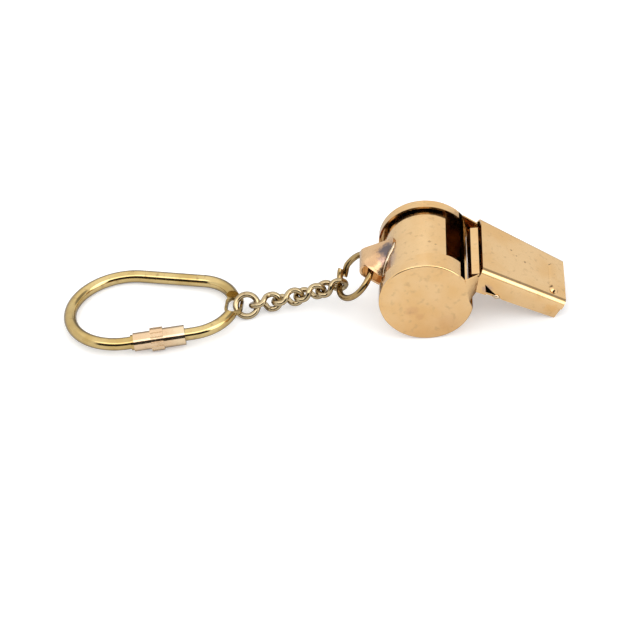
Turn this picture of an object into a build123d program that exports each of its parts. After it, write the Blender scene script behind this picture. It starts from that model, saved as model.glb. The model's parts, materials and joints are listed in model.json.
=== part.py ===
from build123d import *
from math import acos, asin, atan2, cos, degrees, hypot, radians, sin, sqrt
import os

# A brass pea whistle on a short key chain with a screw-lock carabiner, all millimetres.
# It lies on a table: +Z is up, +X runs from the carabiner to the whistle's lip, and the
# origin is on the table under the middle of the whole object.

# ---------------------------------------------------------------- driving dimensions
SHEET = 0.5                 # brass sheet of the whistle
SOLDER_GAP = 0.01           # between soldered sheets
BARREL_X = 27.62            # barrel axis, which runs along Y
BARREL_Y = -2.90            # middle of the barrel's width
DISC_RADIUS = 11.0
HALF_WIDTH = 12.3           # from the middle to the outer face of an end plate
FLANGE_DEPTH_BACK = 3.9     # of the front flange, beside the bracket
FLANGE_DEPTH_WINDOW = 5.3   # and beside the window
REAR_FLANGE_DEPTH = 2.7
FOLD_RADIUS = 0.45          # outside of the fold between disc and flange
WRAP_RADIUS = 9.85          # outer radius of the curved sheet
LABIUM_ANGLE = 91.6         # all barrel angles are measured from the mouthpiece direction
WRAP_END_ANGLE = 43.0

MOUTH_START = 7.6           # along the mouthpiece from the barrel axis
MOUTH_END = 30.2
MOUTH_TOP = 13.1            # outer face, above the barrel axis, square to the mouthpiece
LIP_BOTTOM = 7.7
HALF_TOP_START = 10.2       # half width of the top plate at the window
HALF_TOP_END = 8.4          # and at the lip
ROLL_RADIUS = 1.7           # long edges of the top plate, folded down over the walls
ROLL_DEPTH = 2.1
RIB_LENGTH = 10.8
RIB_WIDTH = 2.5
RIB_HEIGHT = 0.6
RIB_TAPER = 30.0            # degrees that the rib's sides lean in
RIB_FROM_LIP = 3.3
RIB_SHIFT = -1.2            # the rib sits off the middle, towards the front
FLOOR_START = 7.6
FLOOR_REAR_INSET = 0.15     # the floor narrows by this much between the necks
FLOOR_LIP_INSET = 0.05      # and ends this far behind the lip
WINDWAY_HALF_WIDTH = 8.5
WINDWAY_BENDS = ((15.5, 7.95), (7.9, 11.0), (6.45, 9.95), (7.1, 7.35))

PEA_RADIUS = 5.0
PEA_ORBIT = 4.2             # pea centre to barrel axis

BRACKET_ANGLE = 170.0       # direction of the bracket's fold from +X, up over the back
BRACKET_Y = 1.2             # the bracket sits off the barrel's middle
BRACKET_WIDTH = 6.4
BRACKET_APEX = 16.6         # sharp inner corner of the two legs, from the barrel axis
BRACKET_FOLD = 1.6          # inner radius of the fold
BRACKET_LANDING = 28.0      # degrees from the fold to where a leg meets the barrel
BRACKET_FOOT = 8.0          # degrees of barrel that each foot covers

RING_WIRE = 0.75
RING_RADIUS = 5.68          # centreline
RING_REACH = 12.77          # ring wire to barrel axis, inside the bracket
RING_DROP = 43.0            # the ring hangs this far below horizontal
RING_YAW = 9.0              # and lies turned in the bracket by this much
RING_GAP_ANGLE = 132.0      # where its two ends stand side by side, from the bracket
RING_END_SHIFT = 0.8        # sideways shift of each end
RING_OVERLAP = 1.2          # length over which the two ends lie side by side
RING_BLEND = 25.0           # degrees over which an end moves sideways

LINK_WIRE = 0.675
LINK_LENGTH = 6.9           # centreline, end to end
LINK_BOW = 1.75             # centreline radius of each end
LINK_TWIST = 90.0
LINK_WAIST = 0.93           # how far the middle of a side keeps the bow's radius
LINK_PLAY = 0.13            # free play where two wires hook
LINK_PITCH = (5.0, 8.0, 11.0, 13.0)     # slope of links 1 to 4, up towards the ring
LINK_ROLL = (105.0, 121.0, 137.0, 151.0)
CHAIN_YAW = 3.5             # the chain's direction seen from above
LINK_ON_RING = 16.0         # where link 4 hooks the jump ring, from its far point

END_WIRE = 0.725
END_RADIUS = 2.62           # centreline of the round end link
END_LEAN = 45.5             # it leans back from upright by this much

CLIP_WIRE = 1.5
CLIP_BIG = 13.3             # centreline radius of the wide end
CLIP_SMALL = 10.4
CLIP_RUN = 15.8             # straight length of each side
CLIP_YAW = -14.5            # direction of the far straight side
CLIP_TILT = 2.6             # the near side is lifted by the sleeve's knurl
CLIP_PITCH = 1.6            # and the small end by the end link
EYE_ANGLE = 10.6            # eye on the small end, from the far side's direction
EYE_LENGTH = 7.2            # eye and slot lie along the wire
EYE_WIDTH = 4.3
EYE_SLOT_LENGTH = 5.4
EYE_SLOT_WIDTH = 2.96
EYE_PULL = 0.45             # the end link is pulled this far outside the slot's middle
EYE_THICKNESS = 0.8
EYE_FLAT = 3.9              # half length of the flattened stretch

SLEEVE_LENGTH = 12.2
SLEEVE_START = 1.6          # from the wide end of the near straight
SLEEVE_LEFT_RADIUS = 2.2
SLEEVE_RIGHT_RADIUS = 2.4
SLEEVE_BORE = 1.95
THREAD_LAND = 3.2           # length of the tight, threaded bore
THREAD_CLEARANCE = 0.06
KNURL_RADIUS = 2.8
KNURL_START = 4.1
KNURL_LENGTH = 3.0
KNURL_GROOVES = 16
KNURL_GROOVE_RADIUS = 0.16
STUB_LENGTH = 1.3           # threaded stub inside the closed sleeve
CLIP_GAP = 3.1              # opening that the sleeve closes
COLLAR_RADIUS = 1.85
COLLAR_LENGTH = 0.6
COLLAR_PLAY = 0.05          # between the collar and the closed sleeve

os.makedirs("parts", exist_ok=True)


# ---------------------------------------------------------------- shared places
# The lip and the barrel both stand on the table, which fixes the mouthpiece's slope.
MOUTH_PITCH = degrees(
    asin(DISC_RADIUS / hypot(MOUTH_END, LIP_BOTTOM)) + atan2(LIP_BOTTOM, MOUTH_END)
)
barrel_centre = Vector(BARREL_X, BARREL_Y, DISC_RADIUS)
along_mouth = Vector(cos(radians(MOUTH_PITCH)), 0, -sin(radians(MOUTH_PITCH)))
above_mouth = Vector(sin(radians(MOUTH_PITCH)), 0, cos(radians(MOUTH_PITCH)))

# Side view of the whistle: x along the mouthpiece, y square to it and up, seen from -Y.
side_view = Plane(origin=barrel_centre, x_dir=along_mouth, z_dir=(0, -1, 0))


WALL_INSET = SHEET + SOLDER_GAP     # from the top plate's folded edge to a side wall


def half_top(u):
    """Half width of the mouthpiece's top plate at the distance u from the barrel axis."""
    share = (u - MOUTH_START) / (MOUTH_END - MOUTH_START)
    return HALF_TOP_START + share * (HALF_TOP_END - HALF_TOP_START)


def half_inside(u):
    """Half width between the mouthpiece's side walls."""
    return half_top(u) - WALL_INSET - SHEET - SOLDER_GAP


def polar(radius, angle):
    return (radius * cos(radians(angle)), radius * sin(radians(angle)))


def place(plane, point):
    """World position of a point given in a plane's own x, y, z."""
    return plane.from_local_coords(Vector(*point))


def heading(plane, direction):
    """World direction of a direction given in a plane's own x, y, z."""
    return place(plane, direction) - plane.origin


def save(part, name):
    part.label = name
    export_step(part, f"parts/{name}.step")


# ---------------------------------------------------------------- end plates
FLANGE_TOP_ANGLE = 74.0     # the flange ends here, beside the window
FLANGE_LOW_ANGLE = 20.0     # and here, under the neck
NECK_TOP = (4.6, 10.0)      # the neck is bent along the line between these two points
NECK_LOW = (8.5, 5.3)
RELIEF_CORNER = (10.5, 3.7) # small relief cut under the neck's bend
WALL_TOP = MOUTH_TOP - ROLL_RADIUS - 2 * SOLDER_GAP
WALL_LOW_START = (9.6, 6.5)
# wedge-shaped relief cut in the wall, and the wall's lower edge behind it
WALL_RELIEF = ((16.3, 7.1), (13.2, 8.2), (10.3, 9.5), (12.2, 6.7))


def plate_outline_cut():
    """Corners of the part of the disc that is cut away for the neck."""
    far = DISC_RADIUS + 3
    right_of_relief = (far, RELIEF_CORNER[1])
    return NECK_TOP, NECK_LOW, RELIEF_CORNER, right_of_relief, (far, far), NECK_TOP


with BuildPart() as side_plate_front:
    # flat disc, cut back along the neck's bend line and the small relief under it
    with BuildSketch(side_view.offset(HALF_WIDTH - SHEET)):
        Circle(DISC_RADIUS)
        with BuildLine():
            Polyline(*plate_outline_cut(), close=True)
        make_face(mode=Mode.SUBTRACT)
    extrude(amount=SHEET)

    # flange turned in over the curved sheet, open towards the neck and the window
    with BuildSketch(side_view.offset(HALF_WIDTH - FLANGE_DEPTH_WINDOW)):
        Circle(DISC_RADIUS)
        Circle(DISC_RADIUS - SHEET, mode=Mode.SUBTRACT)
        with BuildLine():
            Polyline(
                (0, 0),
                polar(2 * DISC_RADIUS, FLANGE_LOW_ANGLE),
                polar(2 * DISC_RADIUS, FLANGE_TOP_ANGLE),
                (0, 0),
                close=True,
            )
        make_face(mode=Mode.SUBTRACT)
    extrude(amount=FLANGE_DEPTH_WINDOW)

    # the flange's inner edge slants: shallow beside the bracket, deep beside the window
    with BuildSketch(
        Plane(origin=place(side_view, (0, 0, HALF_WIDTH)), x_dir=along_mouth, z_dir=above_mouth)
    ):
        with BuildLine():
            Polyline(
                (-DISC_RADIUS, FLANGE_DEPTH_BACK),
                (0, FLANGE_DEPTH_WINDOW),
                (DISC_RADIUS, FLANGE_DEPTH_WINDOW),
                (DISC_RADIUS, 2 * FLANGE_DEPTH_WINDOW),
                (-DISC_RADIUS, 2 * FLANGE_DEPTH_WINDOW),
                (-DISC_RADIUS, FLANGE_DEPTH_BACK),
                close=True,
            )
        make_face()
    extrude(amount=2 * DISC_RADIUS, both=True, mode=Mode.SUBTRACT)

    outer_face = side_plate_front.faces().sort_by(Axis.Y)[0]
    fillet(outer_face.edges().filter_by(GeomType.CIRCLE), FOLD_RADIUS)

    # mouthpiece wall, inside the top plate's folded edge, with a wedge-shaped relief cut
    wall_slope = Vector(
        MOUTH_END - MOUTH_START, HALF_TOP_START - HALF_TOP_END, 0
    ).normalized()
    wall_direction = along_mouth * wall_slope.X + Vector(0, 1, 0) * wall_slope.Y
    wall_origin = (
        barrel_centre + along_mouth * MOUTH_START - Vector(0, HALF_TOP_START - WALL_INSET, 0)
    )
    wall_plane = Plane(
        origin=wall_origin,
        x_dir=wall_direction,
        z_dir=wall_direction.cross(above_mouth),
    )

    def on_wall(u, w):
        return ((u - MOUTH_START) / wall_slope.X, w)

    with BuildSketch(wall_plane):
        with BuildLine():
            Polyline(
                on_wall(MOUTH_START, WALL_TOP),
                on_wall(MOUTH_END, WALL_TOP),
                on_wall(MOUTH_END, LIP_BOTTOM),
                *(on_wall(u, w) for u, w in WALL_RELIEF),
                on_wall(*WALL_LOW_START),
                on_wall(MOUTH_START, WALL_TOP),
                close=True,
            )
        make_face()
    extrude(amount=-SHEET)

    # neck: the sheet between the disc's bend line and the wall's near end
    def neck_section(top, low, half_width, sheet_normal):
        """Cross-section of the neck's sheet between two side-view points."""
        top_point = place(side_view, (*top, half_width - SHEET / 2))
        low_point = place(side_view, (*low, half_width - SHEET / 2))
        edge = top_point - low_point
        centre = (top_point + low_point) * 0.5
        return Plane(origin=centre, x_dir=edge, z_dir=edge.cross(sheet_normal)), edge.length

    outward = Vector(0, -1, 0)
    near_disc, near_length = neck_section(NECK_TOP, NECK_LOW, HALF_WIDTH, outward)
    near_wall, far_length = neck_section(
        (MOUTH_START, WALL_TOP), WALL_LOW_START, HALF_TOP_START - WALL_INSET, outward
    )
    with BuildSketch(near_disc):
        Rectangle(near_length, SHEET)
    with BuildSketch(near_wall):
        Rectangle(far_length, SHEET)
    loft(ruled=True)

save(side_plate_front.part, "side_plate_front")

with BuildPart() as side_plate_rear:
    mirror(side_plate_front.part, about=Plane.XZ.offset(-BARREL_Y))
    # its flange is shorter and straight
    with BuildSketch(side_view.offset(REAR_FLANGE_DEPTH - HALF_WIDTH)):
        Circle(DISC_RADIUS + SOLDER_GAP)
        Circle(DISC_RADIUS - SHEET - SOLDER_GAP, mode=Mode.SUBTRACT)
    extrude(amount=FLANGE_DEPTH_WINDOW, mode=Mode.SUBTRACT)

save(side_plate_rear.part, "side_plate_rear")

# ---------------------------------------------------------------- curved sheet
with BuildPart() as barrel_wrap:
    with BuildSketch(side_view.offset(-(HALF_WIDTH - SHEET))):
        Circle(WRAP_RADIUS)
        Circle(WRAP_RADIUS - SHEET, mode=Mode.SUBTRACT)
        with BuildLine():
            Polyline(
                (0, 0),
                polar(2 * WRAP_RADIUS, WRAP_END_ANGLE),
                polar(2 * WRAP_RADIUS, LABIUM_ANGLE),
                (0, 0),
                close=True,
            )
        make_face(mode=Mode.SUBTRACT)
    extrude(amount=2 * (HALF_WIDTH - SHEET))

save(barrel_wrap.part, "barrel_wrap")

# ---------------------------------------------------------------- mouthpiece
with BuildPart() as mouthpiece_top:
    # a plate with folded long edges, tapering from the window to the lip
    for u in (MOUTH_START, MOUTH_END):
        section = Plane(
            origin=barrel_centre + along_mouth * u + above_mouth * MOUTH_TOP,
            x_dir=(0, 1, 0),
            z_dir=along_mouth,
        )
        half = half_top(u)
        flat = half - ROLL_RADIUS
        inside = half - SHEET
        with BuildSketch(section):
            with BuildLine():
                Line((0, 0), (flat, 0))
                RadiusArc((flat, 0), (half, -ROLL_RADIUS), ROLL_RADIUS)
                Line((half, -ROLL_RADIUS), (half, -ROLL_DEPTH))
                Line((half, -ROLL_DEPTH), (inside, -ROLL_DEPTH))
                Line((inside, -ROLL_DEPTH), (inside, -ROLL_RADIUS))
                RadiusArc((inside, -ROLL_RADIUS), (flat, -SHEET), SHEET - ROLL_RADIUS)
                Line((flat, -SHEET), (0, -SHEET))
                mirror(about=Plane.YZ)
            make_face()
    loft(ruled=True)

    # bite rib pressed up across the plate
    rib_place = Plane(
        origin=barrel_centre
        + along_mouth * (MOUTH_END - RIB_FROM_LIP)
        + above_mouth * (MOUTH_TOP - SHEET / 2)
        + Vector(0, RIB_SHIFT, 0),
        x_dir=(0, 1, 0),
        z_dir=above_mouth,
    )
    with BuildSketch(rib_place):
        SlotOverall(RIB_LENGTH, RIB_WIDTH)
    extrude(amount=RIB_HEIGHT + SHEET / 2, taper=RIB_TAPER)

save(mouthpiece_top.part, "mouthpiece_top")

floor_slope = degrees(atan2(LIP_BOTTOM - WALL_LOW_START[1], MOUTH_END - WALL_LOW_START[0]))
floor_top = Plane(
    origin=place(side_view, (MOUTH_END, LIP_BOTTOM + SHEET, 0)),
    x_dir=along_mouth * cos(radians(floor_slope)) + above_mouth * sin(radians(floor_slope)),
    z_dir=above_mouth * cos(radians(floor_slope)) - along_mouth * sin(radians(floor_slope)),
)

with BuildPart() as mouthpiece_floor:
    with BuildSketch(floor_top):
        with BuildLine():
            start = FLOOR_START - MOUTH_END
            corner = WALL_LOW_START[0] - MOUTH_END
            Polyline(
                (start, -half_inside(FLOOR_START) + FLOOR_REAR_INSET),
                (corner, -half_inside(WALL_LOW_START[0])),
                (-FLOOR_LIP_INSET, -half_inside(MOUTH_END)),
                (-FLOOR_LIP_INSET, half_inside(MOUTH_END)),
                (corner, half_inside(WALL_LOW_START[0])),
                (start, half_inside(FLOOR_START) - FLOOR_REAR_INSET),
                (start, -half_inside(FLOOR_START) + FLOOR_REAR_INSET),
                close=True,
            )
        make_face()
    extrude(amount=-SHEET)

save(mouthpiece_floor.part, "mouthpiece_floor")

with BuildPart() as windway_plate:
    # rises from the floor to the window, then turns down to meet the curved sheet
    with BuildSketch(side_view.offset(-WINDWAY_HALF_WIDTH)):
        with BuildLine():
            Polyline(*WINDWAY_BENDS)
            offset(amount=SHEET / 2, side=Side.LEFT, closed=True)
        make_face()
    extrude(amount=2 * WINDWAY_HALF_WIDTH)

save(windway_plate.part, "windway_plate")

with BuildPart() as cork_pea:
    with Locations(barrel_centre + Vector(0, 0, -PEA_ORBIT)):
        Sphere(PEA_RADIUS)

save(cork_pea.part, "cork_pea")

# ---------------------------------------------------------------- hanger bracket
bracket_out = Vector(cos(radians(BRACKET_ANGLE)), 0, sin(radians(BRACKET_ANGLE)))
bracket_centre = barrel_centre + Vector(0, BRACKET_Y, 0)
bracket_view = Plane(origin=bracket_centre, x_dir=bracket_out, z_dir=(0, 1, 0))
landing_x, landing_y = polar(WRAP_RADIUS, BRACKET_LANDING)
leg_angle = atan2(landing_y, BRACKET_APEX - landing_x)     # between a leg and the way out
leg_distance = BRACKET_APEX * sin(leg_angle)               # from the barrel axis to a leg
fold_centre = BRACKET_APEX - BRACKET_FOLD / sin(leg_angle)


def bracket_outline(outset):
    """Half of the bracket's profile, from its fold to its upper foot, moved out by outset."""
    radius = WRAP_RADIUS + outset
    landing = 90 - degrees(leg_angle + acos((leg_distance + outset) / radius))
    fold = BRACKET_FOLD + outset
    tip = (fold_centre + fold, 0)
    shoulder = (fold_centre + fold * sin(leg_angle), fold * cos(leg_angle))
    return tip, shoulder, polar(radius, landing), polar(radius, BRACKET_LANDING + BRACKET_FOOT)


with BuildPart() as hanger_bracket:
    with BuildSketch(bracket_view.offset(-BRACKET_WIDTH / 2)):
        with BuildLine():
            tip_in, shoulder_in, landing_in, foot_in = bracket_outline(0)
            tip_out, shoulder_out, landing_out, foot_out = bracket_outline(SHEET)
            RadiusArc(tip_in, shoulder_in, -BRACKET_FOLD)
            Line(shoulder_in, landing_in)
            RadiusArc(landing_in, foot_in, -WRAP_RADIUS)
            Line(foot_in, foot_out)
            RadiusArc(foot_out, landing_out, WRAP_RADIUS + SHEET)
            Line(landing_out, shoulder_out)
            RadiusArc(shoulder_out, tip_out, BRACKET_FOLD + SHEET)
            Line(tip_out, tip_in)
        make_face()
        mirror(about=Plane.XZ)
    extrude(amount=BRACKET_WIDTH)

save(hanger_bracket.part, "hanger_bracket")

# ---------------------------------------------------------------- jump ring
# The ring hangs from the bracket; its plane holds the barrel's direction, turned by the yaw.
ring_down = Vector(-cos(radians(RING_DROP)), 0, -sin(radians(RING_DROP)))
ring_up = Vector(-sin(radians(RING_DROP)), 0, cos(radians(RING_DROP)))
ring_side = Vector(0, cos(radians(RING_YAW)), 0) + ring_up * sin(radians(RING_YAW))
ring_hold = bracket_centre + bracket_out * RING_REACH
ring_centre = ring_hold + ring_down * RING_RADIUS
ring_plane = Plane(origin=ring_centre, x_dir=ring_down, z_dir=ring_down.cross(ring_side))

with BuildPart() as jump_ring:
    # one open turn whose ends stand side by side
    near_gap = 180 - RING_GAP_ANGLE
    half_overlap = degrees(RING_OVERLAP / RING_RADIUS) / 2
    after_start = near_gap + RING_BLEND
    before_end = near_gap - RING_BLEND

    def on_ring(angle, shift=0.0):
        return place(ring_plane, (*polar(RING_RADIUS, angle), shift))

    def ring_heading(angle):
        return heading(ring_plane, polar(1, angle + 90))

    with BuildLine() as ring_path:
        Spline(
            on_ring(near_gap - half_overlap, RING_END_SHIFT),
            on_ring(after_start),
            tangents=(ring_heading(near_gap), ring_heading(after_start)),
        )
        ThreePointArc(on_ring(after_start), on_ring(near_gap + 180), on_ring(before_end))
        Spline(
            on_ring(before_end),
            on_ring(near_gap + half_overlap, -RING_END_SHIFT),
            tangents=(ring_heading(before_end), ring_heading(near_gap)),
        )
    with BuildSketch(Plane(origin=ring_path.line @ 0, z_dir=ring_path.line % 0)):
        Circle(RING_WIRE)
    sweep(path=ring_path.line)

save(jump_ring.part, "jump_ring")

# ---------------------------------------------------------------- curb links
# Links are placed from the jump ring back towards the carabiner.
ring_tangent = ring_side * cos(radians(LINK_ON_RING)) - ring_down * sin(radians(LINK_ON_RING))
hook_on_ring = ring_centre + (
    ring_down * cos(radians(LINK_ON_RING)) + ring_side * sin(radians(LINK_ON_RING))
) * RING_RADIUS


def chain_direction(pitch):
    """Direction of a link from the carabiner's side to the whistle's side."""
    level = cos(radians(pitch))
    return Vector(
        level * cos(radians(CHAIN_YAW)), level * sin(radians(CHAIN_YAW)), sin(radians(pitch))
    )


link_directions = [chain_direction(pitch) for pitch in LINK_PITCH]
link_tips = {}              # whistle-side and carabiner-side ends of each centreline
whistle_end = hook_on_ring + link_directions[3] * (RING_WIRE + LINK_WIRE + LINK_PLAY)
for number in (4, 3, 2, 1):
    direction = link_directions[number - 1]
    clip_end = whistle_end - direction * LINK_LENGTH
    link_tips[number] = (whistle_end, clip_end)
    if number > 1:
        between = (direction + link_directions[number - 2]).normalized()
        whistle_end = clip_end + between * (2 * LINK_WIRE + LINK_PLAY)


def link_frame(number):
    """Plane at the middle of a link: x along it, z as upright as it can be."""
    whistle_tip, clip_tip = link_tips[number]
    direction = link_directions[number - 1]
    side = Vector(0, 0, 1).cross(direction)
    return Plane(
        origin=(whistle_tip + clip_tip) * 0.5, x_dir=direction, z_dir=direction.cross(side)
    )


def around(x, radius, angle):
    """A point at the distance x along a link, at an angle about its length."""
    return (x, *polar(radius, angle))


def make_link(number):
    """One twisted curb link, swept as two half loops."""
    frame = link_frame(number)
    roll = LINK_ROLL[number - 1]
    reach = LINK_LENGTH / 2 - LINK_BOW
    with BuildPart() as link:
        # the half at the carabiner's end with one side, then the other half and side
        for end in (-1, 1):
            bow_angle = roll - end * LINK_TWIST / 2 + (0 if end < 0 else 180)
            far_angle = bow_angle + end * LINK_TWIST
            side_heading = heading(frame, (-end, 0, 0))
            bow_root = place(frame, around(end * reach, LINK_BOW, bow_angle))
            with BuildLine() as path:
                ThreePointArc(
                    place(frame, around(end * reach, LINK_BOW, bow_angle + 180)),
                    place(frame, (end * LINK_LENGTH / 2, 0, 0)),
                    bow_root,
                )
                Spline(
                    bow_root,
                    place(
                        frame, around(0, LINK_BOW * LINK_WAIST, (bow_angle + far_angle) / 2)
                    ),
                    place(frame, around(-end * reach, LINK_BOW, far_angle)),
                    tangents=(side_heading, side_heading),
                )
            with BuildSketch(Plane(origin=path.line @ 0, z_dir=path.line % 0)):
                Circle(LINK_WIRE)
            sweep(path=path.line)
    return link.part


curb_links = {number: make_link(number) for number in (1, 2, 3, 4)}
for number, link in curb_links.items():
    save(link, f"curb_link_{number}")

# ---------------------------------------------------------------- end link
hook_on_end = link_tips[1][1] + link_directions[0] * (END_WIRE + LINK_WIRE + LINK_PLAY)
end_forward = Vector(cos(radians(CHAIN_YAW)), sin(radians(CHAIN_YAW)), 0)
end_back = Vector(0, 0, 1).cross(end_forward)
end_rise = end_back * sin(radians(END_LEAN)) + Vector(0, 0, 1) * cos(radians(END_LEAN))
end_centre = hook_on_end - end_forward * END_RADIUS
end_plane = Plane(origin=end_centre, x_dir=end_forward, z_dir=end_forward.cross(end_rise))

with BuildPart() as end_link:
    with BuildSketch(Plane(origin=hook_on_end, x_dir=end_forward, z_dir=end_rise)):
        Circle(END_WIRE)
    revolve(axis=Axis(end_centre, end_plane.z_dir), revolution_arc=360)

save(end_link.part, "end_link")

# ---------------------------------------------------------------- carabiner
# Clip view: x along the far straight side, y away from the chain's near side, z up.
clip_axis_angle = degrees(atan2(CLIP_BIG - CLIP_SMALL, CLIP_RUN))
near_angle = 2 * clip_axis_angle
clip_x = Vector(
    cos(radians(CLIP_YAW)) * cos(radians(CLIP_PITCH)),
    sin(radians(CLIP_YAW)) * cos(radians(CLIP_PITCH)),
    sin(radians(CLIP_PITCH)),
)
clip_level = Vector(0, 0, 1).cross(clip_x).normalized()
clip_upright = clip_x.cross(clip_level)
clip_y = clip_level * cos(radians(CLIP_TILT)) - clip_upright * sin(radians(CLIP_TILT))
clip_z = clip_x.cross(clip_y)

big_centre = Vector(0, -CLIP_BIG)
small_centre = Vector(CLIP_RUN, -CLIP_SMALL)
eye_local = small_centre + Vector(*polar(CLIP_SMALL, EYE_ANGLE))
near_start = big_centre + Vector(*polar(CLIP_BIG, near_angle - 90))
near_direction = Vector(*polar(1, near_angle))
near_end = near_start + near_direction * CLIP_RUN

# The wide end rests on the table, and the end link passes the eye where its centreline
# is at the eye's height.
clip_rest = CLIP_WIRE + CLIP_BIG * (hypot(clip_x.Z, clip_y.Z) + clip_y.Z)
eye_height = clip_rest + clip_x.Z * (eye_local.X + EYE_PULL) + clip_y.Z * eye_local.Y
down_on_end = (eye_height - end_centre.Z) / cos(radians(END_LEAN))
eye_point = (
    end_centre
    + end_rise * down_on_end
    - end_forward * sqrt(END_RADIUS**2 - down_on_end**2)
)
clip_origin = eye_point - clip_x * (eye_local.X + EYE_PULL) - clip_y * eye_local.Y
clip_view = Plane(origin=clip_origin, x_dir=clip_x, z_dir=clip_z)


def along_near(distance):
    """Point on the near straight side, measured from its wide end, in the clip view."""
    return near_start + near_direction * distance


stub_end = SLEEVE_START + STUB_LENGTH
gap_end = stub_end + CLIP_GAP

with BuildPart() as carabiner_wire:
    with BuildLine() as clip_path:
        Line(place(clip_view, along_near(gap_end)), place(clip_view, near_end))
        ThreePointArc(
            place(clip_view, near_end),
            place(clip_view, small_centre + Vector(*polar(CLIP_SMALL, clip_axis_angle))),
            place(clip_view, (CLIP_RUN, 0)),
        )
        Line(place(clip_view, (CLIP_RUN, 0)), place(clip_view, (0, 0)))
        ThreePointArc(
            place(clip_view, (0, 0)),
            place(clip_view, big_centre + Vector(*polar(CLIP_BIG, clip_axis_angle + 180))),
            place(clip_view, near_start),
        )
        Line(place(clip_view, near_start), place(clip_view, along_near(stub_end)))
    with BuildSketch(Plane(origin=clip_path.line @ 0, z_dir=clip_path.line % 0)):
        Circle(CLIP_WIRE)
    sweep(path=clip_path.line)

    # stop collar for the closed sleeve
    collar_start = place(clip_view, along_near(SLEEVE_START - COLLAR_PLAY - COLLAR_LENGTH))
    near_direction_world = (
        place(clip_view, near_end) - place(clip_view, near_start)
    ).normalized()
    with BuildSketch(Plane(origin=collar_start, z_dir=near_direction_world)):
        Circle(COLLAR_RADIUS)
    extrude(amount=COLLAR_LENGTH)

    # small end hammered flat, widened and slotted along the wire
    eye_plane = Plane(
        origin=place(clip_view, eye_local),
        x_dir=clip_x * cos(radians(EYE_ANGLE)) + clip_y * sin(radians(EYE_ANGLE)),
        z_dir=clip_z,
    )
    for sense in (1, -1):
        with BuildSketch(eye_plane.offset(sense * EYE_THICKNESS / 2)):
            Rectangle(4 * CLIP_WIRE, 2 * EYE_FLAT)
        extrude(amount=sense * 2 * CLIP_WIRE, mode=Mode.SUBTRACT)
    with BuildSketch(eye_plane.offset(-EYE_THICKNESS / 2)):
        SlotOverall(EYE_LENGTH, EYE_WIDTH, rotation=90)
    extrude(amount=EYE_THICKNESS)
    with BuildSketch(eye_plane.offset(-EYE_THICKNESS / 2)):
        SlotOverall(EYE_SLOT_LENGTH, EYE_SLOT_WIDTH, rotation=90)
    extrude(amount=EYE_THICKNESS, mode=Mode.SUBTRACT)

save(carabiner_wire.part, "carabiner_wire")

sleeve_plane = Plane(
    origin=place(clip_view, along_near(SLEEVE_START)),
    x_dir=clip_z,
    z_dir=near_direction_world,
)

with BuildPart() as screw_sleeve:
    for start, length, radius in (
        (0, SLEEVE_LENGTH / 2, SLEEVE_LEFT_RADIUS),
        (SLEEVE_LENGTH / 2, SLEEVE_LENGTH / 2, SLEEVE_RIGHT_RADIUS),
        (KNURL_START, KNURL_LENGTH, KNURL_RADIUS),
    ):
        with BuildSketch(sleeve_plane.offset(start)):
            Circle(radius)
        extrude(amount=length)
    with BuildSketch(sleeve_plane.offset(KNURL_START)):
        with PolarLocations(KNURL_RADIUS, KNURL_GROOVES):
            Circle(KNURL_GROOVE_RADIUS)
    extrude(amount=KNURL_LENGTH, mode=Mode.SUBTRACT)
    with BuildSketch(sleeve_plane):
        Circle(CLIP_WIRE + THREAD_CLEARANCE)
    extrude(amount=THREAD_LAND, mode=Mode.SUBTRACT)
    with BuildSketch(sleeve_plane.offset(THREAD_LAND)):
        Circle(SLEEVE_BORE)
    extrude(amount=SLEEVE_LENGTH - THREAD_LAND, mode=Mode.SUBTRACT)

save(screw_sleeve.part, "screw_sleeve")
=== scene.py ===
"""Looks of a brass pea whistle on a short key chain with a screw-lock carabiner."""

import json
from math import cos, pi, radians, sin

import bmesh
import bpy
from mathutils import Matrix, Vector, noise


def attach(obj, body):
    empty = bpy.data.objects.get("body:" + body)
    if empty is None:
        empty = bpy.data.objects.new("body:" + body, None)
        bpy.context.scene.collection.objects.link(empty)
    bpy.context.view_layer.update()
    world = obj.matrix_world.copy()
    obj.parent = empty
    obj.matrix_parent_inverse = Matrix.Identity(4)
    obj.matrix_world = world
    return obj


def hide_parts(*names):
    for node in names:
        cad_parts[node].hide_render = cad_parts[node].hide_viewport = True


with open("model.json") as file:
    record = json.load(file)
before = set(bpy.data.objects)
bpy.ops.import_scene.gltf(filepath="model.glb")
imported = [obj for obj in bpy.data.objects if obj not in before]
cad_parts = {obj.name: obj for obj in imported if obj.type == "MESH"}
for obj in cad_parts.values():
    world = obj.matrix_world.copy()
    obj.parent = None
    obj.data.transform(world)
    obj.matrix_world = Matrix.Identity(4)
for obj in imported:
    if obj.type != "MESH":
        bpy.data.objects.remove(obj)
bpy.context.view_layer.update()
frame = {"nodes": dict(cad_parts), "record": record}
nodes = frame["nodes"]
record = frame["record"]
behaviour = record["behaviour"]
MM = 0.001

body_of = {node: body for body, names in behaviour["bodies"].items() for node in names}
slot_of = {part["node"]: part["material_slot"] for part in record["subparts"]}


def joint_place(name):
    joint = next(joint for joint in behaviour["joints"] if joint["name"] == name)
    return Vector(joint["pos_m"])


BARREL = joint_place("pea_orbit")       # middle of the barrel's axis

# ---------------------------------------------------------------- part.py's parameters
SHEET = 0.5 * MM
WRAP_RADIUS = 9.85 * MM
MOUTH_PITCH = radians(34.97)            # the mouthpiece slopes down by this much
MOUTH_TOP = 13.1 * MM
WINDWAY_HALF_WIDTH = 8.5 * MM

ALONG = Vector((cos(MOUTH_PITCH), 0, -sin(MOUTH_PITCH)))
ABOVE = Vector((sin(MOUTH_PITCH), 0, cos(MOUTH_PITCH)))


def near_barrel(x, y, z):
    """Place in mm from the middle of the barrel."""
    return BARREL + Vector((x, y, z)) * MM


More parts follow.
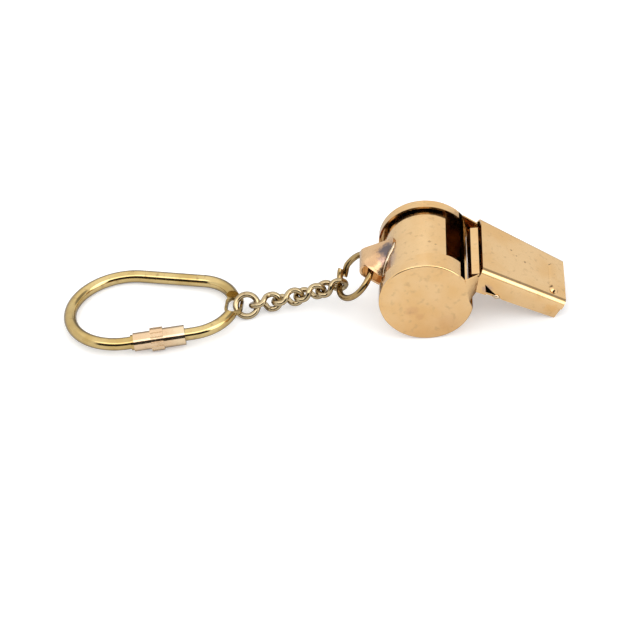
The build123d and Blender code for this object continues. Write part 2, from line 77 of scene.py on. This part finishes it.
def on_mouth(u, y, w=MOUTH_TOP / MM):
    """Place on the mouthpiece: u along it, y across it, w above the barrel axis, in mm."""
    return BARREL + (ALONG * u + Vector((0, y, 0)) + ABOVE * w) * MM


def on_barrel(angle, y, radius=WRAP_RADIUS / MM):
    """Place on the barrel: angle from +X up and over, y along the axis, in degrees and mm."""
    turn = radians(angle)
    return BARREL + Vector((radius * cos(turn), y, radius * sin(turn))) * MM


# ---------------------------------------------------------------- camera
# The view looks down on the front end plate, with the chain going off to the left.
CAMERA_RIGHT = Vector((0.99441, 0.01584, -0.10440))
CAMERA_UP = Vector((0.06926, 0.64851, 0.75805))
CAMERA_FROM_BARREL = Vector((30.389, -541.042, 444.283)) * MM
LENS = 168                              # mm, as is the sensor's width
SENSOR_WIDTH = 36
CLIP_START = 0.01                       # metres


def add_camera():
    back = CAMERA_RIGHT.cross(CAMERA_UP).normalized()
    up = back.cross(CAMERA_RIGHT).normalized()
    camera = bpy.data.objects.new("camera", bpy.data.cameras.new("camera"))
    camera.data.lens = LENS
    camera.data.sensor_width = SENSOR_WIDTH
    camera.data.clip_start = CLIP_START
    axes = Matrix((CAMERA_RIGHT.normalized(), up, back)).transposed()
    camera.matrix_world = Matrix.Translation(BARREL + CAMERA_FROM_BARREL) @ axes.to_4x4()
    bpy.context.scene.collection.objects.link(camera)
    bpy.context.scene.camera = camera


# ---------------------------------------------------------------- shader nodes
SPOT_CORE = 0.35                        # share of a spot's radius that is fully covered


class Shader:
    """A short way to write node trees: every call adds a node and returns an output."""

    def __init__(self, tree):
        self.tree = tree
        tree.nodes.clear()

    def connect(self, value, socket):
        if isinstance(value, bpy.types.NodeSocket):
            self.tree.links.new(value, socket)
        else:
            socket.default_value = value

    def add(self, kind, output=0, inputs=None, **settings):
        node = self.tree.nodes.new("ShaderNode" + kind)
        for name, value in settings.items():
            setattr(node, name, value)
        for name, value in (inputs or {}).items():
            self.connect(value, node.inputs[name])
        return node.outputs[output]

    def math(self, operation, a, b=0.0, c=0.0):
        return self.add("Math", operation=operation, inputs={0: a, 1: b, 2: c})

    def product(self, first, *others):
        """Product of masks: 1 only where every one of them is 1."""
        for other in others:
            first = self.math("MULTIPLY", first, other)
        return first

    def dim(self, value, mask, depth):
        """Value, lowered by the share depth where mask is 1."""
        return self.math("MULTIPLY", value, self.math("MULTIPLY_ADD", mask, -depth, 1.0))

    def ramp(self, value, low, high, to_low=0.0, to_high=1.0):
        """Smooth step from to_low, where value is low, to to_high, where it is high."""
        ends = {"From Min": low, "From Max": high, "To Min": to_low, "To Max": to_high}
        return self.add(
            "MapRange", interpolation_type="SMOOTHSTEP", inputs={"Value": value, **ends}
        )

    def mix(self, share, a, b):
        """Colour mix; share 0 gives a and 1 gives b."""
        mixer = self.tree.nodes.new("ShaderNodeMix")
        mixer.data_type = "RGBA"
        for socket, value in ((0, share), (6, a), (7, b)):
            self.connect(value, mixer.inputs[socket])
        return mixer.outputs[2]

    def noise(self, place, scale, detail=2.0, stretch=None):
        """Noise with features of about 1/scale metres; a stretch below 1 lengthens them."""
        if stretch:
            place = self.add("Mapping", inputs={"Vector": place, "Scale": stretch})
        return self.add("TexNoise", inputs={"Vector": place, "Scale": scale, "Detail": detail})

    def spot(self, place, centre, radius, ragged=None):
        """1 near centre, falling to 0 at radius; ragged noise breaks up the outline."""
        distance = self.add(
            "VectorMath", output=1, operation="DISTANCE", inputs={0: place, 1: tuple(centre)}
        )
        if ragged:
            unevenness = self.math("SUBTRACT", ragged, 0.5)
            distance = self.math("MULTIPLY_ADD", unevenness, radius, distance)
        return self.ramp(distance, radius, radius * SPOT_CORE)

    def finish(self, surface, kind="OutputMaterial"):
        out = self.tree.nodes.new("ShaderNode" + kind)
        self.tree.links.new(surface, out.inputs["Surface"])


# ---------------------------------------------------------------- studio
FLOOR_SIZE = 6.0
FLOOR_CELLS = 8
FLOOR_SHADE = (0.80, 0.80, 0.80, 1)
WHITE = (1, 1, 1, 1)
FLOOR_GLOW = 0.34                       # a light table under the object, for the camera only

# Brightness of the light tent. The front panel and the soft box add to what is there, a
# depth is the share of it that is taken away, and the shade multiplies it.
WALL_LIGHT = 1.0
TOP_LIGHT = 1.25
FRONT_PANEL_LIGHT = 1.3                 # a bright strip above the opening
OPENING_DEPTH = 0.97
BACK_DEPTH = 0.55
SOFT_BOX_LIGHT = 1.7
SHADE_LIGHT = 0.40

# Where they are, by x, y and z of a ray's direction, with the camera towards -y. A pair
# gives the value where something begins and the one where it has its full effect.
TOP_Z = (0.60, 0.70)
OPENING_FRONT = (0.42, 0.56)            # of -y
OPENING_BOTTOM = (0.0, 0.08)
OPENING_TOP = (0.66, 0.60)
OPENING_LEFT = (-0.84, -0.70)
OPENING_RIGHT = (0.66, 0.58)
PANEL_BOTTOM = (0.62, 0.68)
PANEL_TOP = (0.90, 0.82)
PANEL_Y = (-0.15, -0.35)
BACK_Y = (0.30, 0.60)
BACK_TOP = (0.42, 0.20)
BACK_SIDES = (0.42, 0.28)               # of x without its sign
SOFT_BOX = (0.739, -0.429, 0.519)       # a small bright panel, to the right of the camera
SOFT_BOX_EDGE = (0.925, 0.945)          # as the cosine of the angle from its middle
SHADE = (0.757, 0.398, 0.518)           # a darker patch on the same side, further back
SHADE_EDGE = (0.93, 0.96)


def add_floor():
    mesh = bpy.data.meshes.new("floor")
    floor = bpy.data.objects.new("floor", mesh)
    bpy.context.scene.collection.objects.link(floor)
    bm = bmesh.new()
    bmesh.ops.create_grid(bm, x_segments=FLOOR_CELLS, y_segments=FLOOR_CELLS, size=FLOOR_SIZE / 2)
    bm.to_mesh(mesh)
    bm.free()
    material = bpy.data.materials.new("floor")
    material.use_nodes = True
    s = Shader(material.node_tree)
    cloth = s.add("BsdfDiffuse", inputs={"Color": FLOOR_SHADE})
    seen = s.math("MULTIPLY", s.add("LightPath", output="Is Camera Ray"), FLOOR_GLOW)
    glow = s.add("Emission", inputs={"Color": WHITE, "Strength": seen})
    s.finish(s.add("AddShader", inputs={0: cloth, 1: glow}))
    mesh.materials.append(material)


def opening_mask(s, x, y, z):
    front = s.ramp(s.math("MULTIPLY", y, -1.0), *OPENING_FRONT)
    level = s.product(s.ramp(z, *OPENING_BOTTOM), s.ramp(z, *OPENING_TOP))
    sides = s.product(s.ramp(x, *OPENING_LEFT), s.ramp(x, *OPENING_RIGHT))
    return s.product(front, level, sides)


def panel_mask(s, y, z):
    return s.product(s.ramp(z, *PANEL_BOTTOM), s.ramp(z, *PANEL_TOP), s.ramp(y, *PANEL_Y))


def back_mask(s, x, y, z):
    sides = s.ramp(s.math("ABSOLUTE", x), *BACK_SIDES)
    return s.product(s.ramp(y, *BACK_Y), s.ramp(z, *BACK_TOP), sides)


def around_direction(s, direction, middle, edge, outside, inside):
    """The value inside for rays close to the direction middle, and outside elsewhere."""
    closeness = s.add(
        "VectorMath", output=1, operation="DOT_PRODUCT", inputs={0: direction, 1: middle}
    )
    return s.ramp(closeness, *edge, outside, inside)


def add_studio_light():
    """A light tent: bright above, open towards the camera, where polished metal sees dark."""
    world = bpy.data.worlds.new("studio")
    bpy.context.scene.world = world
    world.use_nodes = True
    s = Shader(world.node_tree)
    split = world.node_tree.nodes.new("ShaderNodeSeparateXYZ")
    direction = s.add("TexCoord", output="Generated")
    s.connect(direction, split.inputs[0])
    x, y, z = split.outputs
    overhead = s.ramp(z, *TOP_Z)
    brightness = s.math("MULTIPLY_ADD", overhead, TOP_LIGHT - WALL_LIGHT, WALL_LIGHT)
    brightness = s.dim(brightness, opening_mask(s, x, y, z), OPENING_DEPTH)
    soft_box = around_direction(s, direction, SOFT_BOX, SOFT_BOX_EDGE, 0.0, SOFT_BOX_LIGHT)
    brightness = s.math("ADD", brightness, soft_box)
    shade = around_direction(s, direction, SHADE, SHADE_EDGE, 1.0, SHADE_LIGHT)
    brightness = s.math("MULTIPLY", brightness, shade)
    brightness = s.math("MULTIPLY_ADD", panel_mask(s, y, z), FRONT_PANEL_LIGHT, brightness)
    brightness = s.dim(brightness, back_mask(s, x, y, z), BACK_DEPTH)
    brightness = s.math("MAXIMUM", brightness, s.add("LightPath", output="Is Camera Ray"))
    surface = s.add("Background", inputs={"Color": WHITE, "Strength": brightness})
    s.finish(surface, "OutputWorld")


# ---------------------------------------------------------------- materials
# Noise scales, in features per metre. A pair of edges gives the noise value where a mask
# begins and the one where it is full.
CLOUD_SCALE = 110
CLOUD_EDGES = (0.35, 0.68)
FRECKLE_SCALE = 700
FRECKLE_EDGES = (0.54, 0.74)
FRECKLE_SHARE = 0.5                     # how far a freckle goes to the dull colour
GRAIN_SCALE = 1500
GRAIN_EDGES = (0.3, 0.75)
GRAIN_LOW = 0.7                         # roughness of the smoothest and the dullest grain,
GRAIN_HIGH = 1.5                        # as shares of the material's own
RAGGED_SCALE = 1300                     # breaks up the outlines of marks
WAVE_SCALE = 260
SCRATCH_SCALE = 900
SCRATCH_STRETCH = (0.12, 1.0, 1.0)      # scratches run along x
SCRATCH_HEIGHT = 1.5e-6                 # metres
TURNED_EDGES = (0.35, 0.85)             # Layer Weight where painted shade on turned-away metal begins, and where it is full
# how far the painted shade inside the window fades past the windway's sides
WINDOW_SHADE_FADE = 0.3 * MM

CORK_SCALE = 900
CORK_EDGES = (0.35, 0.7)
CORK_DARK = (0.24, 0.12, 0.05, 1)
CORK_LIGHT = (0.52, 0.34, 0.18, 1)
PORE_EDGES = (0.30, 0.45)
PORE_DEPTH = 6e-5                       # metres
CORK_ROUGH_EDGES = (0.3, 0.7)
CORK_ROUGHNESS = (0.9, 0.7)             # of dark and of light cells

# painted shade for metal that turns away from the view
PAINTED_EDGE_SHADE = (0.10, 0.06, 0.02, 1)
# colour of the painted shade inside the window
WINDOW_SHADE_DARK = (0.05, 0.02, 0.006, 1)
SHEET_COLOUR = (0.85, 0.58, 0.30, 1)
SHEET_WARM = (0.80, 0.50, 0.22, 1)
SHEET_DULL = (0.55, 0.36, 0.18, 1)
SOLDERED_COLOUR = (0.74, 0.49, 0.27, 1)
SOLDERED_WARM = (0.66, 0.40, 0.22, 1)
RING_COLOUR = (0.44, 0.31, 0.14, 1)
RING_WARM = (0.36, 0.23, 0.09, 1)
WIRE_DULL = (0.30, 0.19, 0.08, 1)
CHAIN_COLOUR = (0.52, 0.41, 0.24, 1)
CHAIN_WARM = (0.42, 0.31, 0.17, 1)
CHAIN_DULL = (0.22, 0.14, 0.07, 1)
CARABINER_COLOUR = (0.66, 0.50, 0.23, 1)
CARABINER_WARM = (0.52, 0.36, 0.13, 1)
SLEEVE_COLOUR = (0.82, 0.64, 0.42, 1)
SLEEVE_WARM = (0.74, 0.52, 0.32, 1)
SOLDER_COLOUR = (0.82, 0.70, 0.52, 1)
SOLDER_WARM = (0.74, 0.58, 0.40, 1)
SOLDER_DULL = (0.40, 0.33, 0.30, 1)
HEAT_GREY = (0.14, 0.12, 0.13, 1)
HEAT_MAUVE = (0.42, 0.28, 0.27, 1)
RED_BROWN = (0.62, 0.33, 0.16, 1)
CORNER_BROWN = (0.40, 0.22, 0.09, 1)
LIP_AMBER = (0.80, 0.46, 0.16, 1)
# painted shade for the carabiner's eye
EYE_SHADE = (0.12, 0.07, 0.03, 1)
DARK_PIT = (0.12, 0.06, 0.02, 1)

# each mark: centre, radius, colour, strength, added roughness
SHEET_MARKS = (
    (near_barrel(-3.5, -12.3, -2.2), 2.1 * MM, RED_BROWN, 0.35, 0.05),
    (near_barrel(-1.8, -12.3, -4.2), 1.3 * MM, RED_BROWN, 0.30, 0.05),
    (near_barrel(4.5, -12.3, -6.4), 3.4 * MM, RED_BROWN, 0.22, 0.02),
    (on_mouth(15.6, 2.5), 0.35 * MM, DARK_PIT, 0.70, 0.10),
    (on_mouth(19.3, 0.3), 0.45 * MM, DARK_PIT, 0.55, 0.10),
    (on_mouth(17.0, 1.2), 0.30 * MM, DARK_PIT, 0.50, 0.10),
    (on_mouth(25.9, -4.9, 13.5), 0.60 * MM, DARK_PIT, 0.85, 0.10),
    (on_mouth(28.0, -8.2, 10.0), 2.2 * MM, LIP_AMBER, 0.55, 0.10),
    (on_barrel(144, -3.6), 3.4 * MM, HEAT_MAUVE, 0.55, 0.15),
    (on_barrel(142, -0.6), 2.6 * MM, HEAT_GREY, 0.75, 0.20),
    (on_barrel(80, -1.9), 0.5 * MM, WIRE_DULL, 0.55, 0.10),
    (on_barrel(72, -2.7), 0.4 * MM, WIRE_DULL, 0.45, 0.10),
    (near_barrel(14.2, -9.3, 0.4), 1.6 * MM, HEAT_MAUVE, 0.55, 0.15),
    (near_barrel(8.6, 9.4, 7.6), 2.6 * MM, CORNER_BROWN, 0.60, 0.25),
)
BRACKET_MARKS = (
    (on_barrel(150, -2.2, 10.6), 2.6 * MM, HEAT_MAUVE, 0.60, 0.20),
    (on_barrel(144, 0.6, 10.6), 2.9 * MM, HEAT_GREY, 0.95, 0.20),
    (on_barrel(205, -1.0, 10.4), 3.0 * MM, HEAT_GREY, 0.55, 0.20),
    (on_barrel(160, 3.0, 13.0), 0.4 * MM, DARK_PIT, 0.65, 0.10),
)
# painted shade over the carabiner's eye, where its hole is dark
EYE_SHADE_MARKS = ((joint_place("clip_turn"), 4.2 * MM, EYE_SHADE, 0.85, 0.10),)
WINDOW_SHADE_SPOT = (on_mouth(6.6, 0, 8.3), 1.75 * MM)      # centre and radius of painted shade, inside the window


def new_material(name):
    material = bpy.data.materials.new(name)
    material.use_nodes = True
    s = Shader(material.node_tree)
    return material, s, s.add("TexCoord", output="Object")


def bump(s, height):
    return s.add("Bump", inputs={"Height": height, "Strength": 1.0, "Distance": 1.0})


def brushed_bump(s, place, wave):
    """Hand-worked unevenness, wave metres high, and fine scratches."""
    waves = s.noise(place, WAVE_SCALE, detail=2)
    scratches = s.noise(place, SCRATCH_SCALE, detail=5, stretch=SCRATCH_STRETCH)
    scratches = s.math("MULTIPLY", scratches, SCRATCH_HEIGHT)
    return bump(s, s.math("MULTIPLY_ADD", waves, wave, scratches))


def clouded_tint(s, place, colour, warm, dull):
    """Colour with warm clouds and dull freckles."""
    clouds = s.noise(place, CLOUD_SCALE, detail=4)
    tint = s.mix(s.ramp(clouds, *CLOUD_EDGES), colour, warm)
    freckles = s.noise(place, FRECKLE_SCALE, detail=6)
    return s.mix(s.ramp(freckles, *FRECKLE_EDGES, 0.0, FRECKLE_SHARE), tint, dull)


def add_marks(s, place, tint, rough, marks):
    """Tint and roughness with the marks laid over them."""
    ragged = s.noise(place, RAGGED_SCALE, detail=5)
    for centre, radius, stain, strength, dullness in marks:
        mask = s.math("MULTIPLY", s.spot(place, centre, radius, ragged), strength)
        tint = s.mix(mask, tint, stain)
        rough = s.math("MULTIPLY_ADD", mask, dullness, rough)
    return tint, rough


def window_shade_mask(s, place, centre, radius):
    """Painted shade inside the window: 1 on a line through centre that runs across the whistle,
    as far as the windway is wide.
    """
    level = s.add("VectorMath", operation="MULTIPLY", inputs={0: place, 1: (1, 0, 1)})
    streak = s.spot(level, (centre.x, 0, centre.z), radius)
    across = s.add("VectorMath", operation="MULTIPLY", inputs={0: place, 1: (0, 1, 0)})
    beside = s.add(
        "VectorMath", output=1, operation="DISTANCE", inputs={0: across, 1: (0, BARREL.y, 0)}
    )
    within = s.ramp(beside, WINDWAY_HALF_WIDTH + WINDOW_SHADE_FADE, WINDWAY_HALF_WIDTH)
    return s.math("MULTIPLY", streak, within)


def brass(name, colour, warm, dull, roughness=0.12, wave=3e-6, edge=0.5, marks=(), window_shade=None):
    """Polished brass: warm clouds, dull freckles, fine scratches and the given marks.

    Edge is how strongly shade is painted where the metal turns away from the view.
    Window_shade is the centre and radius of a streak of painted shade across the whistle, inside
    the window.
    """
    material, s, place = new_material(name)
    tint = clouded_tint(s, place, colour, warm, dull)
    grain = s.noise(place, GRAIN_SCALE, detail=4)
    rough = s.ramp(grain, *GRAIN_EDGES, roughness * GRAIN_LOW, roughness * GRAIN_HIGH)
    tint, rough = add_marks(s, place, tint, rough, marks)
    # painted shade inside the window, where the whistle's dark interior shows
    if window_shade:
        tint = s.mix(window_shade_mask(s, place, *window_shade), tint, WINDOW_SHADE_DARK)
    # painted shade: darker colour where the metal turns away from the view, standing in for the
    # dark outlines of polished metal
    turned = s.add("LayerWeight", output=1, inputs={"Blend": 0.5})
    tint = s.mix(s.ramp(turned, *TURNED_EDGES, 0.0, edge), tint, PAINTED_EDGE_SHADE)
    normal = brushed_bump(s, place, wave)
    look = {"Base Color": tint, "Metallic": 1.0, "Roughness": rough, "Normal": normal}
    s.finish(s.add("BsdfPrincipled", inputs=look))
    return material


def cork():
    material, s, place = new_material("cork")
    cells = s.noise(place, CORK_SCALE, detail=6)
    tint = s.mix(s.ramp(cells, *CORK_EDGES), CORK_DARK, CORK_LIGHT)
    pores = s.math("MULTIPLY", s.ramp(cells, *PORE_EDGES), PORE_DEPTH)
    rough = s.ramp(cells, *CORK_ROUGH_EDGES, *CORK_ROUGHNESS)
    look = {"Base Color": tint, "Roughness": rough, "Normal": bump(s, pores)}
    s.finish(s.add("BsdfPrincipled", inputs=look))
    return material


materials = {
    "sheet_brass": brass(
        "polished_sheet", SHEET_COLOUR, SHEET_WARM, SHEET_DULL, marks=SHEET_MARKS, window_shade=WINDOW_SHADE_SPOT,
    ),
    "soldered_brass": brass(
        "soldered_sheet", SOLDERED_COLOUR, SOLDERED_WARM, SHEET_DULL,
        roughness=0.18, wave=1.2e-5, marks=BRACKET_MARKS,
    ),
    "wire_brass": brass(
        "ring_wire", RING_COLOUR, RING_WARM, WIRE_DULL, roughness=0.14, edge=0.85,
    ),
    "chain_brass": brass(
        "chain_wire", CHAIN_COLOUR, CHAIN_WARM, CHAIN_DULL, roughness=0.14, edge=0.9,
    ),
    "carabiner_brass": brass(
        "carabiner_wire", CARABINER_COLOUR, CARABINER_WARM, WIRE_DULL,
        roughness=0.10, edge=1.0, marks=EYE_SHADE_MARKS,
    ),
    "sleeve_brass": brass(
        "turned_sleeve", SLEEVE_COLOUR, SLEEVE_WARM, SHEET_DULL, roughness=0.13, edge=0.8,
    ),
    "cork": cork(),
}
solder = brass("solder", SOLDER_COLOUR, SOLDER_WARM, SOLDER_DULL, roughness=0.22)


# ---------------------------------------------------------------- pieces
BEAD_SIDES = 14
LUMP_SCALE = 900                        # lumps per metre of bead
LUMP_HEIGHT = 0.35                      # as a share of the bead's radius
BEAD_SQUASH = 0.6                       # height of a bead as a share of its half width


def add_piece(name, bm, body, material):
    """A new smooth-shaded object from a bmesh, riding a body."""
    mesh = bpy.data.meshes.new(name)
    for face in bm.faces:
        face.smooth = True
    bm.to_mesh(mesh)
    bm.free()
    mesh.materials.append(material)
    piece = bpy.data.objects.new(name, mesh)
    bpy.context.scene.collection.objects.link(piece)
    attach(piece, body)
    return piece


def bead_ring(bm, point, ahead, outward, radius):
    """A ring of vertices around one point of a bead, squashed along outward."""
    side = outward.cross(ahead).normalized()
    ring = []
    for k in range(BEAD_SIDES):
        turn = 2 * pi * k / BEAD_SIDES
        offset = side * cos(turn) * radius + outward * sin(turn) * radius * BEAD_SQUASH
        ring.append(bm.verts.new(point + offset))
    return ring


def swelling(radius, count, thinnest, power=1.0):
    """Radii along a bead: radius in the middle, and at the ends thinnest ** power of it."""
    shape = [sin(pi * (i + 0.5) / count) for i in range(count)]
    return [radius * max(thinnest, height) ** power for height in shape]


def add_bead(name, points, radii, body, material):
    """A lumpy solder bead along points, each with its outward direction."""
    bm = bmesh.new()
    rings = []
    last = len(points) - 1
    for i, (point, outward) in enumerate(points):
        ahead = points[min(i + 1, last)][0] - points[max(i - 1, 0)][0]
        ahead.normalize()
        lump = 1 + LUMP_HEIGHT * noise.noise(point * LUMP_SCALE)
        rings.append(bead_ring(bm, point, ahead, outward, radii[i] * lump))
    for first, second in zip(rings, rings[1:]):
        for k in range(BEAD_SIDES):
            after = (k + 1) % BEAD_SIDES
            bm.faces.new((first[k], first[after], second[after], second[k]))
    bm.faces.new(reversed(rings[0]))
    bm.faces.new(rings[-1])
    bmesh.ops.recalc_face_normals(bm, faces=bm.faces)
    return add_piece(name, bm, body, material)


# ---------------------------------------------------------------- bracket
# Part.py's bracket, with the front of its upper leg bent down on to the barrel, in mm and in
# degrees from the strap's middle line.
BRACKET_ANGLE = 170.0
BRACKET_APEX = 16.6
BRACKET_FOLD = 1.6
LEG_ANGLE = radians(30.31)              # between each leg and the strap's middle line
LOWER_LANDING = -28.0
LOWER_FOOT = -36.0
FOLD_STEPS = 10
FOOT_STEPS = 4
WORN_WIDTH = 0.12 * MM                  # of the strap's rounded edges
WORN_ANGLE = radians(50)
# for each row across the strap: y at the fold, y at the upper foot, landing and foot angles
BRACKET_ROWS = (
    (-2.1, -3.7, -2.0, -1.0),
    (-1.9, -3.1, 3.0, 5.0),
    (-1.2, -2.3, 11.0, 14.0),
    (-0.4, -1.3, 19.0, 23.0),
    (0.4, -0.2, 25.0, 31.0),
    (1.4, 0.9, 28.0, 36.5),
    (2.6, 2.2, 28.0, 38.5),
    (3.6, 3.3, 28.0, 37.5),
    (4.3, 4.0, 28.0, 34.0),
)


def bracket_row(y_fold, y_foot, landing, foot):
    """Points along one row of the strap, from the upper foot to the lower one."""
    fold_centre = BRACKET_APEX - BRACKET_FOLD / sin(LEG_ANGLE)
    radius = (WRAP_RADIUS + SHEET / 2) / MM
    fold = BRACKET_FOLD + SHEET / MM / 2
    points = []
    for i in range(FOOT_STEPS + 1):
        angle = radians(foot + (landing - foot) * i / FOOT_STEPS)
        points.append((radius * cos(angle), y_foot, radius * sin(angle)))
    for i in range(FOLD_STEPS + 1):
        angle = (pi / 2 - LEG_ANGLE) * (1 - 2 * i / FOLD_STEPS)
        points.append((fold_centre + fold * cos(angle), y_fold, fold * sin(angle)))
    for i in range(FOOT_STEPS + 1):
        angle = radians(LOWER_LANDING + (LOWER_FOOT - LOWER_LANDING) * i / FOOT_STEPS)
        points.append((radius * cos(angle), y_fold, radius * sin(angle)))
    out = Vector((cos(radians(BRACKET_ANGLE)), 0, sin(radians(BRACKET_ANGLE))))
    up = Vector((0, 1, 0)).cross(out)
    return [BARREL + (out * a + Vector((0, y, 0)) + up * b) * MM for a, y, b in points]


def add_bracket():
    bm = bmesh.new()
    rows = [[bm.verts.new(point) for point in bracket_row(*row)] for row in BRACKET_ROWS]
    for first, second in zip(rows, rows[1:]):
        for i in range(len(first) - 1):
            bm.faces.new((first[i], first[i + 1], second[i + 1], second[i]))
    bmesh.ops.recalc_face_normals(bm, faces=bm.faces)
    name = "hanger_bracket"
    piece = add_piece("bent_bracket", bm, body_of[name], materials[slot_of[name]])
    sheet = piece.modifiers.new("sheet", "SOLIDIFY")
    sheet.thickness = SHEET
    sheet.offset = 0
    worn = piece.modifiers.new("worn", "BEVEL")
    worn.width = WORN_WIDTH
    worn.segments = 2
    worn.angle_limit = WORN_ANGLE
    smooth = piece.modifiers.new("smooth", "SUBSURF")
    smooth.levels = 1
    smooth.render_levels = 1
    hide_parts(name)


# ---------------------------------------------------------------- solder
BEAD_RADIUS = 0.58 * MM
BEAD_STEPS = 4                          # between two rows of the strap
BEAD_LIFT = 0.1                         # mm above the sheet's outer face
BEAD_SHIFT = 0.35                       # mm, by which the bead sits towards the front
SOLDERED_ROWS = BRACKET_ROWS[:7]        # the bead ends before the strap's rear corner

BLOB_RADIUS = 0.55 * MM
BLOB_COUNT = 7
BLOB_START = (13.6, -9.25, 7.25)        # along, across and above, as in on_mouth
BLOB_STEP = (0.3, 0.0, 0.05)


def bead_along(places, steps):
    """Points on the barrel through (angle, y) places, with their outward directions."""
    path = []
    for (angle, y), (next_angle, next_y) in zip(places, places[1:]):
        for i in range(steps):
            share = i / steps
            here = angle + share * (next_angle - angle)
            point = on_barrel(here, y + share * (next_y - y), WRAP_RADIUS / MM + BEAD_LIFT)
            path.append((point, (on_barrel(here, 0, 1) - BARREL).normalized()))
    return path


def add_solder_bead():
    """The bead along the end of the strap's upper foot."""
    edge = [(BRACKET_ANGLE - foot, y - BEAD_SHIFT) for _, y, _, foot in SOLDERED_ROWS]
    path = bead_along(edge, BEAD_STEPS)
    radii = swelling(BEAD_RADIUS, len(path), thinnest=0.2, power=0.5)
    add_bead("solder_bead", path, radii, "whistle", solder)


def add_solder_blob():
    """A blob in the wedge-shaped cut of the mouthpiece wall."""
    front = Vector((0, -1, 0))
    path = []
    for i in range(BLOB_COUNT):
        place = on_mouth(*(start + step * i for start, step in zip(BLOB_START, BLOB_STEP)))
        path.append((place, front))
    radii = swelling(BLOB_RADIUS, BLOB_COUNT, thinnest=0.25)
    add_bead("solder_blob", path, radii, "whistle", solder)


# ---------------------------------------------------------------- scene
add_bracket()
for node_name, node in nodes.items():
    node.material_slots[0].material = materials[slot_of[node_name]]
add_solder_bead()
add_solder_blob()
add_floor()
add_studio_light()
add_camera()
bpy.context.scene.view_settings.view_transform = "Standard"
